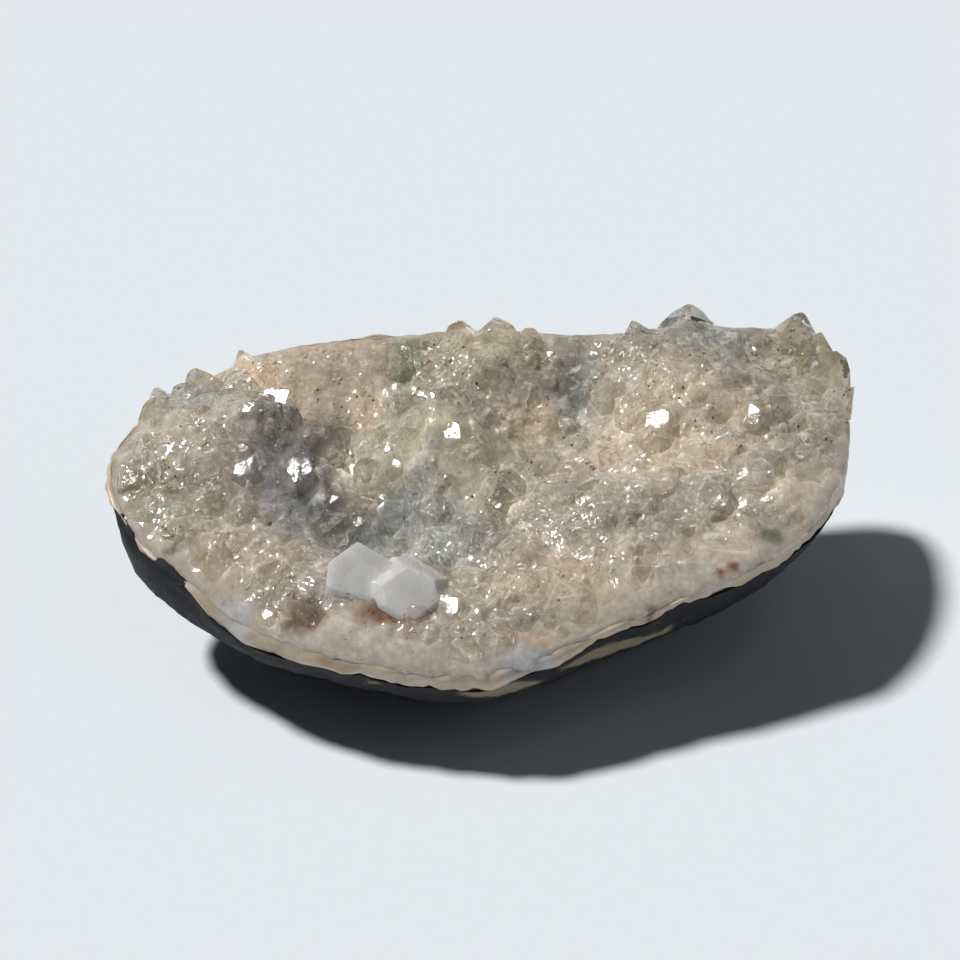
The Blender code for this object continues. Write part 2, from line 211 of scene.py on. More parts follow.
# Where the druse changes colour: across, back, half-widths, how strongly, and the colour. Those
# at (-38, 8) and (-33, -2) on the left mound's right flank, (-18, 4) in the valley, (-8, -4) in
# the front crevices and (-14, 43) in the back gully are partly the crystals' own grey and olive
# and partly painted shade.
TINT_AND_SHADE_ZONES = (
    (-60, 20, 14, 10, 0.6, "9F978C"),
    (-52, 26, 14, 5, 0.9, "8C8F8C"),
    (-38, 8, 7, 14, 0.9, "83868A"),
    (-33, -2, 6, 9, 0.7, "8A8B8A"),
    (-36, 34, 18, 11, 0.9, "B5A38D"),
    (-36, 42, 16, 3, 0.7, "C4A68A"),
    (-14, 43, 3.5, 7, 1.0, "5E6A4E"),
    (-15, 34, 4, 6, 0.7, "757C64"),
    (-19, 16, 10, 8, 0.6, "8C8878"),
    (-8, 29, 9, 5, 0.7, "7C7F6F"),
    (-6, 10, 12, 10, 0.7, "C0BCA9"),
    (-18, 4, 13, 5, 0.9, "6F777A"),
    (-8, -4, 12, 5, 0.8, "7F8686"),
    (3, 38, 14, 9, 0.7, "8F8774"),
    (10, 22, 8, 6, 0.5, "B39F87"),
    (21, 28, 4, 11, 0.9, "7F8680"),
    (46, 42, 15, 6, 0.9, "7E8481"),
    (68, 42, 10, 8, 0.9, "8A8270"),
    (22, -14, 16, 7, 0.5, "B8A996"),
    (-60, -2, 8, 5, 0.7, "8B8877"),
    (-47, -10, 12, 7, 0.7, "9C8D7D"),
    (60, 2, 8, 5, 0.6, "BCAE9B"),
    (38, 17, 20, 13, 0.6, "C2B5A3"),
)
# Where waxy chalcedony shows between the crystals: across, back and half-widths.
WAXY = (
    (-26, -24, 12, 4.5),
    (51, -10, 13, 4.5),
    (30, -19, 13, 3),
    (67, 1, 4.5, 8),
    (12, -28, 12, 3),
    (-48, -19, 3, 3),
)
# Stains over it all: across, back, half-widths, how strongly, and the colour.
STAINS = (
    (-25, -24.5, 8, 3, 0.8, "FBEADA"),
    (-32.5, -23, 4, 3, 1.0, "6E4A24"),
    (-18, -23, 6, 2.2, 1.0, "8A5A2C"),
    (49.3, -13.1, 1.4, 0.8, 1.0, "8A4320"),
    (46.5, -14.2, 0.9, 0.6, 1.0, "93502B"),
    (33, -21, 0.9, 0.8, 0.9, "9A5A34"),
    (9, -31, 5, 2.5, 0.8, "CDD2DA"),
    (-47, -22, 4, 3, 0.7, "D5D8DC"),
    (12, -27, 5, 1.5, 0.5, "D8B48C"),
    (57, -7.5, 2.6, 1.3, 0.9, "5E6A4C"),
)
# Where the lining shows through the basalt in front: across, up and half-widths.
BARE_PATCHES = ((26, 19, 11, 2.2), (4, 17, 8, 2))
# The faces that flash in the key light: across, back, height over the druse, size.
FLASHES = (
    (-29.5, 25, 3, 3.4),
    (-11.5, 26, 3, 3.2),
    (-4.5, 13.5, 4, 4.6),
    (-26, 18, 3, 2.6),
    (-17, 11.5, 3, 2.4),
    (-9, 2.5, 4, 3.6),
    (3.5, 3, 4, 3.6),
    (35.5, 16.5, 7, 6),
    (26.5, 18, 3, 4),
    (56, 18.5, 6, 3.8),
    (47.5, -1, 5, 3.8),
    (51.5, -1.5, 2.5, 2.6),
    (-69.5, 6, 2, 4.2),
    (-46, 6, 3, 4.4),
    (18, 12, 3, 2.4),
    (65, 11, 3, 2.4),
    (14, -15, 3, 3),
    (-46.7, 7.9, 2.5, 2.2),
    (-27.2, 22.1, 2.5, 1.6),
    (-18.4, 15.7, 2.5, 1.6),
    (-12.6, 30.2, 2.5, 2.2),
    (-64.2, 8.7, 2.5, 1.4),
    (-66.9, 5.2, 2.5, 1.4),
    (-40.0, -22.7, 2.5, 2.2),
    (10.7, -12.6, 2.5, 1.6),
    (33.5, -1.4, 2.5, 2.0),
    (56.6, -0.3, 2.5, 1.8),
    (14.8, 38.2, 2.5, 1.6),
    (24.4, 39.2, 2.5, 1.8),
    (39.9, -10.0, 2.5, 1.6),
    (-19.4, 8.8, 2.5, 1.8),
    (-2.0, -3.1, 2.5, 1.6),
    (18.7, -3.0, 2.5, 1.5),
    (-55.3, 28.9, 2.5, 2.0),
    (-37.3, 23.8, 2.5, 1.8),
)
OPEN_FLASHES = [flash[:2] for flash in FLASHES if flash[3] > 3.7]  # none stands over the largest

KEY_TRAVEL = Vector((0.6, -0.2, -1)).normalized()
CAMERA_AT = Vector((0, -267.2, 252.9))  # in the lists' millimetres
CAMERA_AIM = Vector((0, 6, 39.5))


def linear(code):
    """An sRGB hex colour as the linear red, green and blue that shaders take."""
    values = [int(code[k : k + 2], 16) / 255 for k in (0, 2, 4)]
    return tuple(v / 12.92 if v <= 0.04045 else ((v + 0.055) / 1.055) ** 2.4 for v in values)


def body_of(code):
    """The body colour that looks like a hex colour once light is lost inside the crystal."""
    seen = Vector(linear(code))
    return seen * min(BODY_GAIN, 0.88 / max(seen))


TINT_AND_SHADE_COLOURS = [(*zone[:5], body_of(zone[5])) for zone in TINT_AND_SHADE_ZONES]
STAIN_COLOURS = [(*zone[:5], Vector(linear(zone[5]))) for zone in STAINS]
RIM_CREAM = Vector(linear("DCCCB9"))
PALE_INSIDE = Vector(linear("FAF8F4"))


def between(low, high, share):
    """A value a share of the way between two others."""
    return low + (high - low) * share


def rim_spokes():
    """The rim's stations read at even steps along the rim: one for each spoke."""
    ring = RIM + RIM[:1]
    steps = [math.dist(a[:2], b[:2]) for a, b in zip(ring, ring[1:])]
    spokes = []
    for i in range(SPOKES):
        along = sum(steps) * i / SPOKES
        k = 0
        while along > steps[k]:
            along -= steps[k]
            k += 1
        spokes.append([between(a, b, along / steps[k]) for a, b in zip(ring[k], ring[k + 1])])
    return spokes


RIM_SPOKES = rim_spokes()
SPOKE_ANGLES = [math.atan2(y - MIDDLE.y, x - MIDDLE.x) for x, y, *_ in RIM_SPOKES]


def spoke_at(x, y):
    """The rim station in the direction of a point, and how far out the point is: 1 at the rim."""
    angle = math.atan2(y - MIDDLE.y, x - MIDDLE.x)
    for i, a in enumerate(SPOKE_ANGLES):
        j = (i + 1) % SPOKES
        turn = (SPOKE_ANGLES[j] - a) % math.tau
        offset = (angle - a) % math.tau
        if offset <= turn:
            share = offset / turn
            break
    station = [between(p, q, share) for p, q in zip(RIM_SPOKES[i], RIM_SPOKES[j])]
    return station, math.dist((x, y), MIDDLE) / reach_of(station)


def reach_of(station):
    """How far the rim is from the middle at a station."""
    return math.dist(station[:2], MIDDLE)


def crust_edge(station):
    """How far out the crystals start, as a share of the way to the rim."""
    return 1 - station[4] / reach_of(station)


def relief(x, y):
    """The height of the druse between its crystals."""
    station, out = spoke_at(x, y)
    height = between(DISH_MIDDLE_HEIGHT, station[2], min(out, 1) ** 2)
    inner = 1 - min(out, 1) ** 6
    for mound_x, mound_y, rise, half_x, half_y in MOUNDS:
        distance = ((x - mound_x) / half_x) ** 2 + ((y - mound_y) / half_y) ** 2
        height += inner * rise * math.exp(-distance)
    return height


def slope(x, y):
    """The lean in degrees, to the right and to the back, of what grows straight out."""
    lean_x = -math.degrees(math.atan((relief(x + 2, y) - relief(x - 2, y)) / 4))
    lean_y = -math.degrees(math.atan((relief(x, y + 2) - relief(x, y - 2)) / 4))
    return lean_x, lean_y


def calm(x, y):
    """Whether a point is on the sugary slope that has hardly a crystal."""
    calm_x, calm_y, half_x, half_y = CALM_SLOPE
    return ((x - calm_x) / half_x) ** 2 + ((y - calm_y) / half_y) ** 2 < 1


def crystals():
    """Every crystal that the solids have: across, back, width, length, leans and turn."""
    placed = list(LARGE_CRYSTALS)
    chance = random.Random(FILL_SEED)
    xs = [s[0] for s in RIM]
    ys = [s[1] for s in RIM]
    for _ in range(FILL_TRIES):
        x = chance.uniform(min(xs), max(xs))
        y = chance.uniform(min(ys), max(ys))
        width = chance.uniform(*FILL_WIDTHS)
        turn = chance.uniform(0, 60)
        lean = chance.uniform(-12, 12)
        chance.random()  # the solids draw how flat the tip is
        station, out = spoke_at(x, y)
        if out > crust_edge(station) - width * 0.35 / reach_of(station):
            continue
        if calm(x, y):
            continue
        if any(math.dist((x, y), p[:2]) < FILL_SPACING * (width + p[2]) / 2 for p in placed):
            continue
        lean_x, lean_y = slope(x, y)
        lean_x = lean_x * 0.7 + lean
        lean_y = lean_y * 0.7 + lean
        placed.append((x, y, width, width * 0.45, lean_x, lean_y, turn))
        if len(placed) == len(LARGE_CRYSTALS) + FILL_COUNT:
            break
    return placed


def to_frame(point):
    """A place in the lists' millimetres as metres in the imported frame."""
    return Vector((point[0] - BOX_MIDDLE.x, point[1] - BOX_MIDDLE.y, point[2])) * MM


def to_design(at):
    """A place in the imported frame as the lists' millimetres."""
    return at.x / MM + BOX_MIDDLE.x, at.y / MM + BOX_MIDDLE.y, at.z / MM


DESIGN_TO_FRAME = Matrix.Scale(MM, 4) @ Matrix.Translation((-BOX_MIDDLE.x, -BOX_MIDDLE.y, 0))


def tinted(colour, zones, x, y, wander):
    """A colour turned toward those of the zones over a point, whose edges wander."""
    for zone_x, zone_y, half_x, half_y, strength, tint in zones:
        distance = math.hypot((x - zone_x) / half_x, (y - zone_y) / half_y) + wander
        if distance < 1.3:
            colour = colour.lerp(tint, strength * min((1.3 - distance) / 0.7, 1))
    return colour


def clamped(value, low=0, high=1):
    """A value kept between two others."""
    return min(max(value, low), high)


def growth_and_shade_colour(x, y, champagne):
    """The body colour of what grows at a point: the zones over it, some of them partly painted
    shade, turning cream at the rim.
    """
    colour = Vector(champagne)
    wander = noise.noise(Vector((x, y, 0)) * 0.12) * 0.5
    wander += noise.noise(Vector((x, y, 9)) * 0.5) * 0.2
    colour = tinted(colour, TINT_AND_SHADE_COLOURS, x, y, wander)
    colour = colour.lerp(RIM_CREAM, waxiness(x, y) * 0.9)
    return tinted(colour, STAIN_COLOURS, x, y, wander)


def waxiness(x, y):
    """How far the druse has no crystals, only waxy chalcedony, from 0 to 1."""
    station, out = spoke_at(x, y)
    wander = noise.noise(Vector((x, y, 3)) * 0.25)
    found = clamped((out - crust_edge(station) + 0.03 + 0.03 * wander) / 0.05)
    for zone_x, zone_y, half_x, half_y in WAXY:
        distance = math.hypot((x - zone_x) / half_x, (y - zone_y) / half_y) + 0.4 * wander
        found = max(found, clamped((1.2 - distance) / 0.5))
    return found


def floor_height(x, y):
    """The height of the floor between the crystals, with its lumps, falling off at the brink."""
    station, out = spoke_at(x, y)
    inward = (1 - out) * reach_of(station)
    at = Vector((x, y, 0))
    lumps = noise.fractal(at * 0.16, 0.9, 2.1, 2) + noise.fractal(at * 0.6, 0.8, 2.1, 3) * 0.5
    brink = 1 - clamped(inward / 3.5)
    return relief(x, y) - 0.1 + (lumps + 1.8) * clamped(inward / 9, 0.2) - 1.3 * brink**2


def flash_normal(point):
    """The way a face looks that throws the key light from a point to the camera."""
    return ((CAMERA_AT - point).normalized() - KEY_TRAVEL).normalized()


def wall_shift(x, y, z):
    """How far the ragged boundary of basalt and chalcedony, and what is near it, moves up. In
    front, left of the middle, and at the left end the basalt reaches higher."""
    station, _ = spoke_at(x, y)
    band = station[3]
    over = z - (station[2] - band)
    wave = 2.4 * noise.noise(Vector((x, y, 17)) * 0.1)
    torn = max(noise.noise(Vector((x, y, 31)) * 0.08) + 0.2, 0)
    if y < 0:
        wave += 2.5 * math.exp(-(((x + 27) / 10) ** 2))
    if x < -60:
        wave += 3 * math.exp(-(((y - 8) / 12) ** 2))
    wave += 2.5 * torn * noise.noise(Vector((x, y, 70)) * 0.13)
    wave += 0.5 * torn * noise.noise(Vector((x, y, 5)) * 0.6)
    wave = min(wave, band * 0.6)
    return wave * (max(1 - over / band, 0) if over > 0 else math.exp(-((over / 7) ** 2)))


def belly(x, y, z):
    """How far the basalt swells out at the left end."""
    return 2.4 * math.exp(-(((x + 68) / 14) ** 2) - ((y + 7) / 16) ** 2 - ((z - 22) / 11) ** 2)


def crystal_matrix(x, y, z, lean_x, lean_y, turn):
    """Where a crystal made at the origin stands, leans and is turned to; angles in degrees."""
    to_right = Matrix.Rotation(math.radians(lean_x), 4, "Y")
    to_back = Matrix.Rotation(math.radians(-lean_y), 4, "X")
    turned = Matrix.Rotation(math.radians(turn), 4, "Z")
    return Matrix.Translation((x, y, z)) @ (to_right @ to_back) @ turned


def quartz_crystal(width, tip, root, chance):
    """A quartz crystal up from the origin: six sides closed by six slanting faces."""
    shape = bmesh.new()
    bmesh.ops.create_cube(shape, size=1)
    for vert in shape.verts:
        end = -root if vert.co.z < 0 else 2 * tip + root
        vert.co = (vert.co.x * 3 * width, vert.co.y * 3 * width, end)
    turns = [math.tau * k / 6 for k in range(6)]
    sides = [Vector((math.cos(turn), math.sin(turn), 0)) for turn in turns]
    for side in sides:
        cut_face(shape, side * width / 2 * chance.uniform(0.75, 1.05), side)
    for side in sides:
        facing = side * math.sin(TIP_SLANT) + Vector((0, 0, math.cos(TIP_SLANT)))
        cut_face(shape, Vector((0, 0, tip * chance.uniform(0.9, 1.6))), facing)
    return shape


def cut_face(shape, at, facing):
    """Cut a flat face across a crystal at a point, and close it."""
    everything = shape.verts[:] + shape.edges[:] + shape.faces[:]
    cut = bmesh.ops.bisect_plane(
        shape, geom=everything, plane_co=at, plane_no=facing, clear_outer=True)
    edges = [e for e in cut["geom_cut"] if isinstance(e, bmesh.types.BMEdge)]
    if len(edges) > 2:
        bmesh.ops.holes_fill(shape, edges=edges, sides=0)


def cut_in(shape, facing, depth):
    """Cut a flat face across a crystal, a depth in from where it reaches farthest that way."""
    reach = max(facing.dot(v.co) for v in shape.verts)
    cut_face(shape, facing * (reach - depth), facing)


def face_light(shape, size):
    """Cut a face that flashes, as deep as makes it of the size."""
    top = max(shape.verts, key=lambda v: v.co.z).co.copy()
    facing = flash_normal(top)
    reach = max(facing.dot(v.co) for v in shape.verts)
    depth = 0.1
    while depth < size:
        cut_face(shape, facing * (reach - depth), facing)
        made = max(shape.faces, key=lambda f: f.normal.dot(facing))
        if made.calc_area() > (0.75 * size) ** 2:
            break
        depth += 0.15


def finish_mesh(shape, name):
    """A shape as a mesh, its normals outward."""
    bmesh.ops.recalc_face_normals(shape, faces=shape.faces[:])
    mesh = bpy.data.meshes.new(name)
    shape.to_mesh(mesh)
    shape.free()
    return mesh


def linked(name, data):
    """An object of a mesh, a light or a camera, in the scene."""
    made = bpy.data.objects.new(name, data)
    bpy.context.scene.collection.objects.link(made)
    return made


def place(name, mesh, finish, slot, *nodes):
    """A finished piece in the scene, riding on the shard and standing for the solids named. Its
    slot is not used."""
    made = linked(name, mesh)
    mesh.materials.clear()
    mesh.materials.append(finish)
    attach(made, "root")
    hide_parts(*nodes)
    return made


def paint(mesh, name, values):
    """A colour or a number for each vertex, for the materials to read."""
    kind = "FLOAT_COLOR" if isinstance(values[0], tuple) else "FLOAT"
    layer = mesh.attributes.new(name, kind, "POINT")
    for item, value in zip(layer.data, values):
        if kind == "FLOAT_COLOR":
            item.color = (*value, 1)
        else:
            item.value = value


def feed(tree, node, **inputs):
    """Set a node's inputs to values or link them from sockets. An input is named, or else i and
    its number."""
    for key, value in inputs.items():
        numbered = key[0] == "i" and key[1:].isdigit()
        socket = node.inputs[int(key[1:]) if numbered else key.replace("_", " ")]
        if isinstance(value, bpy.types.NodeSocket):
            tree.links.new(value, socket)
        else:
            socket.default_value = value


def add(tree, kind, settings=None, **inputs):
    """A node with its settings, and its inputs fed."""
    node = tree.nodes.new(kind)
    for key, value in (settings or {}).items():
        setattr(node, key, value)
    feed(tree, node, **inputs)
    return node


def new_material(name):
    """A material, its nodes, its shader, and the socket with the place on the object."""
    made = bpy.data.materials.new(name)
    made.use_nodes = True
    tree = made.node_tree
    shader = tree.nodes["Principled BSDF"]
    place_of = add(tree, "ShaderNodeTexCoord").outputs["Object"]
    return made, tree, shader, place_of


def calculated(tree, operation, first, second):
    """Two numbers, or sockets of numbers, put through a sum or a comparison."""
    return add(tree, "ShaderNodeMath", {"operation": operation}, i0=first, i1=second).outputs[0]


def vector(tree, operation, **inputs):
    """Vectors put through a sum."""
    return add(tree, "ShaderNodeVectorMath", {"operation": operation}, **inputs).outputs["Vector"]


def bumped(tree, height, strength, millimetres, **more):
    """Facings that follow a pattern's heights."""
    return add(
        tree, "ShaderNodeBump", Height=height, Strength=strength, Distance=millimetres * MM,
        **more).outputs["Normal"]


def attribute(tree, name, output="Fac"):
    """What a mesh says under a name at each of its vertices."""
    return add(tree, "ShaderNodeAttribute", {"attribute_name": name}).outputs[output]


def opaque(code):
    """A hex colour as the four linear numbers that a colour socket holds."""
    return (*linear(code), 1)


def per_mm(size):
    """The scale of a pattern whose features are a size in millimetres."""
    return 1 / (size * MM)


def ramp(tree, factor, *stops):
    """A colour ramp between (place, hex colour) stops."""
    node = add(tree, "ShaderNodeValToRGB", i0=factor)
    elements = node.color_ramp.elements
    while len(elements) < len(stops):
        elements.new(0.5)
    for element, (at, code) in zip(elements, stops):
        element.position = at
        element.color = opaque(code)
    return node.outputs["Color"]


def spread(tree, factor, low, high, to_low=0.0, to_high=1.0):
    """A pattern's values between low and high, spread over another range."""
    node = add(
        tree, "ShaderNodeMapRange", Value=factor, From_Min=low, From_Max=high, To_Min=to_low,
        To_Max=to_high)
    return node.outputs["Result"]


def mix(tree, factor, first, second, blend="MIX"):
    """Two colours mixed, a factor of the second over the first; numbered as the node's colour
    sockets are."""
    settings = {"data_type": "RGBA", "blend_type": blend}
    return add(tree, "ShaderNodeMix", settings, i0=factor, i6=first, i7=second).outputs[2]


def noise_of(tree, place_of, size, detail=4.0, roughness=0.55):
    """Noise with features of a size in millimetres."""
    node = add(
        tree, "ShaderNodeTexNoise", Vector=place_of, Scale=per_mm(size), Detail=detail,
        Roughness=roughness)
    return node.outputs["Fac"]


def basalt():
    """Basalt, broken and weathered: matt, near black, its grains just seen, with violet-brown
    films in its hollows and cream streaks where the lining shows through."""
    made, tree, shader, place_of = new_material("broken_basalt")
    grain = noise_of(tree, place_of, 0.9, 8, 0.7)
    film = noise_of(tree, place_of, 9, 3)
    body = ramp(tree, grain, (0.3, "06080C"), (0.55, "0D1118"), (0.8, "232832"))
    body = mix(tree, spread(tree, film, 0.5, 0.7), body, opaque("2A2328"))
    streak = spread(tree, noise_of(tree, place_of, 7, 7, 0.6), 0.66, 0.72, 0, 0.6)
    pale = calculated(tree, "MAXIMUM", attribute(tree, "pale"), streak)
    body = mix(tree, pale, body, opaque("94896F"))
    feed(
        tree, shader, Base_Color=body, Roughness=spread(tree, grain, 0.3, 0.8, 0.62, 0.9),
        Normal=bumped(tree, grain, 0.55, 0.4))
    return made


def chalcedony():
    """Chalcedony: waxy and faintly see-through, so light goes a little way in. Cream, with peach
    and bluish-white clouds, and rust where iron got in."""
    made, tree, shader, place_of = new_material("waxy_chalcedony")
    cloud = noise_of(tree, place_of, 7, 5)
    fine = noise_of(tree, place_of, 1.1, 6, 0.6)
    body = ramp(tree, cloud, (0.32, "DFD6C8"), (0.5, "F6F0E6"), (0.62, "FFFFFF"), (0.75, "FFF3E8"))
    body = mix(tree, 1.0, body, attribute(tree, "growth_and_shade", "Color"), "MULTIPLY")
    body = mix(tree, spread(tree, fine, 0.55, 0.75, 0, 0.35), body, opaque("9C8468"))
    feed(
        tree, shader, Base_Color=body, Roughness=spread(tree, fine, 0.3, 0.7, 0.28, 0.5), IOR=1.54,
        Subsurface_Weight=0.35, Subsurface_Radius=(2.2 * MM, 1.6 * MM, 1.1 * MM),
        Subsurface_Scale=1, Normal=bumped(tree, fine, 0.35, 0.3))
    return made


def quartz(name, clearness, roughness, glow, facet, tilt, ripple=0.15, shade=0.35, lined=False):
    """Quartz: glassy faces over a body from clear to milky, its colour from where it grew, partly
    painted shade where the zones carry it. Each face is stepped into smaller ones that lean a
    little their own way, with pale lines between them, clouds inside and, in patches, brown specks
    of iron; each smaller face is painted darker away from its middle, as painted shade. Ridges and
    rubbed edges are painted pale, a painted highlight that on rubbed edges is partly their own
    frosting, and clefts dark, as painted shade. Glow and facet are millimetres; a lined one has
    fine lines across its faces, laid down as it grew."""
    made, tree, shader, place_of = new_material(name)
    grown_colour_and_shade = attribute(tree, "growth_and_shade", "Color")
    edge = attribute(tree, "edge")
    wax = attribute(tree, "wax")
    crystalline = spread(tree, wax, 0, 1, 1, 0)
    steps = add(tree, "ShaderNodeTexVoronoi", Vector=place_of, Scale=per_mm(facet))
    seams = add(
        tree, "ShaderNodeTexVoronoi", {"feature": "DISTANCE_TO_EDGE"}, Vector=place_of,
        Scale=per_mm(facet))
    each = add(tree, "ShaderNodeSeparateColor", Color=steps.outputs["Color"]).outputs[0]
    tints = ramp(tree, each, (0.0, "EAEAEA"), (0.5, "F6F6F6"), (1.0, "FFFFFF"))
    cloud = noise_of(tree, place_of, 3.2, 3)
    seam = spread(tree, seams.outputs["Distance"], 0.0, 0.02, 0.12 if clearness else 0.25, 0)
    seam = calculated(tree, "MULTIPLY", seam, crystalline)
    patch = spread(tree, noise_of(tree, place_of, 9, 1), 0.47, 0.62)
    speck = spread(tree, noise_of(tree, place_of, 1.1, 2, 0.7), 0.62, 0.68)
    speck = calculated(tree, "MULTIPLY", speck, patch)
    wear = noise_of(tree, place_of, 0.9, 2)
    body = mix(tree, 1.0, grown_colour_and_shade, tints, "MULTIPLY")
    for share, code in (
        (spread(tree, cloud, 0.52, 0.75, 0, 0.5), "F2EEE6"),
        (spread(tree, cloud, 0.48, 0.25, 0, shade), "A59F94"),
        # Painted shade: each smaller face darker away from its middle.
        (spread(tree, steps.outputs["Distance"], 0.1, 0.8, 0, shade), "A09A8E"),
        (seam, "FFFDF8"),
        # Painted highlight: ridges and rubbed edges paler, on rubbed edges partly their own
        # frosting.
        (spread(tree, edge, 0.3, 1, 0, 0.3), "FFFDF8"),
        # Painted shade: clefts darker.
        (spread(tree, edge, -0.4, -1, 0, 0.3), "77695A"),
        (spread(tree, speck, 0, 1, 0, 0.6), "54402E"),
    ):
        body = mix(tree, share, body, opaque(code))
    if clearness:
        milk = calculated(
            tree, "MAXIMUM", spread(tree, cloud, 0.56, 0.72), spread(tree, edge, 0, 1, 0, 0.2))
        milk = calculated(tree, "MAXIMUM", milk, seam)
        milk = spread(tree, milk, 0, 1, clearness, clearness * 0.3)
        feed(tree, shader, Transmission_Weight=milk)
    else:
        sugar = calculated(tree, "MULTIPLY", spread(tree, wear, 0.5, 0.7, 0, 0.45), crystalline)
        body = mix(tree, sugar, body, opaque("FFF4E6"))
        ripple = spread(tree, wax, 0, 1, 0.5, 0.08)
    own_way = vector(tree, "SUBTRACT", i0=steps.outputs["Color"], i1=(0.5, 0.5, 0.5))
    lean = vector(tree, "SCALE", i0=own_way, Scale=spread(tree, wax, 0, 1, tilt, 0))
    facing = add(tree, "ShaderNodeNewGeometry").outputs["Normal"]
    facing = vector(tree, "NORMALIZE", i0=vector(tree, "ADD", i0=facing, i1=lean))
    facing = bumped(tree, wear, ripple, 0.2, Normal=facing)
    if lined:
        lines = add(
            tree, "ShaderNodeTexWave", {"bands_direction": "X"}, Vector=place_of,
            Scale=per_mm(0.7) * math.pi / 10, Distortion=3.0, Detail=2.0, Detail_Scale=0.4)
        facing = bumped(tree, lines.outputs["Fac"], 0.3, 0.1, Normal=facing)
    shader.subsurface_method = "BURLEY"
    feed(
        tree, shader, Base_Color=body, IOR=1.544, Normal=facing,
        Roughness=spread(tree, wear, 0.35, 0.75, roughness * 0.6, roughness * 2.2),
        Subsurface_Weight=0 if clearness > 0.7 else 1, Subsurface_Radius=(1, 0.92, 0.8),
        Subsurface_Scale=glow * MM)
    if clearness > 0.8:
        depth = add(tree, "ShaderNodeVolumeAbsorption", Color=opaque("D8D6CC"), Density=15.0)
        feed(tree, tree.nodes["Material Output"], Volume=depth.outputs["Volume"])
    return made


def iron_grains():
    """Iron oxide grains: dull, from rust brown to black."""
    made, tree, shader, _ = new_material("iron_oxide")
    each = add(tree, "ShaderNodeNewGeometry").outputs["Random Per Island"]
    body = ramp(tree, each, (0.0, "2A211A"), (0.6, "4A3423"), (1.0, "7A5230"))
    feed(tree, shader, Base_Color=body, Roughness=0.7)
    return made


class DruseSizes(bpy.types.PropertyGroup):
    """The sizes and numbers that can be changed"""

    edge_bevel: FloatProperty(
        name="Rubbed edge", description="Width of a crystal's rubbed edge", default=0.14 * MM,
        unit="LENGTH", subtype="DISTANCE")
    rind_relief: FloatProperty(
        name="Rind relief", description="Height of the lumps on the basalt", default=0.5 * MM,
        unit="LENGTH", subtype="DISTANCE")
    band_relief: FloatProperty(
        name="Band relief", description="Height of the swells on the cream band", default=0.8 * MM,
        unit="LENGTH", subtype="DISTANCE")
    sugar_step: FloatProperty(
        name="Sugar step", description="Mesh step of the drusy floor", default=0.6 * MM,
        unit="LENGTH", subtype="DISTANCE")
    mass_step: FloatProperty(
        name="Mass step", description="Fineness of the milky mass's surface", default=0.3 * MM,
        unit="LENGTH", subtype="DISTANCE")
    mass_triangles: IntProperty(
        name="Mass triangles", description="Triangles of the milky mass", default=190000)
    cloudy_count: IntProperty(
        name="Cloudy crystals", description="Crystals of 7 to 15 mm; half as many are smaller",
        default=220)
    small_count: IntProperty(
        name="Small crystals", description="Milky crystals of 1 to 5 mm", default=250)
    grain_count: IntProperty(name="Grains", description="Crystals under 1 mm", default=1000)
    speck_count: IntProperty(name="Specks", description="Grains of iron oxide", default=500)


class DruseColours(bpy.types.PropertyGroup):
    """The colours that can be changed"""

    champagne: FloatVectorProperty(
        name="Champagne", description="Body colour of most of the quartz", subtype="COLOR", size=3,
        default=linear("AFA494"))
    white: FloatVectorProperty(
        name="White", description="Body colour of the two white crystals", subtype="COLOR", size=3,
        default=linear("F1EFEA"))
    floor: FloatVectorProperty(
        name="Floor", description="Colour of the stage's floor", subtype="COLOR", size=3,
        default=linear("F5FAFE"))


def rounded_copy(node, levels):
    """A CAD node's mesh merged, its triangles paired into the rings it was made of, and rounded by
    subdivision between its sharp edges."""
    shape = bmesh.new()
    shape.from_mesh(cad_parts[node].data)
    bmesh.ops.remove_doubles(shape, verts=shape.verts[:], dist=0.01 * MM)
    bmesh.ops.join_triangles(
        shape, faces=shape.faces[:], angle_face_threshold=math.radians(60),
        angle_shape_threshold=math.pi)
    crease = shape.edges.layers.float.new("crease_edge")
    for edge in shape.edges:
        x, y, z = to_design((edge.verts[0].co + edge.verts[1].co) / 2)
        station, out = spoke_at(x, y)
        at_rim = out > 0.97 and z > station[2] - station[3] * 0.4
        if len(edge.link_faces) == 2 and edge.calc_face_angle(0) > math.radians(50):
            edge[crease] = 0.3 if at_rim else 1
    mesh = finish_mesh(shape, node + "_round")
    guide = linked("guide", mesh)
    rounding = guide.modifiers.new("rounding", "SUBSURF")
    rounding.levels = levels
    rounding.render_levels = levels
    depsgraph = bpy.context.evaluated_depsgraph_get()
    made = bpy.data.meshes.new_from_object(guide.evaluated_get(depsgraph))
    bpy.data.objects.remove(guide)
    bpy.data.meshes.remove(mesh)
    return made


def fractal(at, size, octaves):
    """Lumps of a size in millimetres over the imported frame."""
    return noise.fractal(at / (size * MM), 0.9, 2.1, octaves)


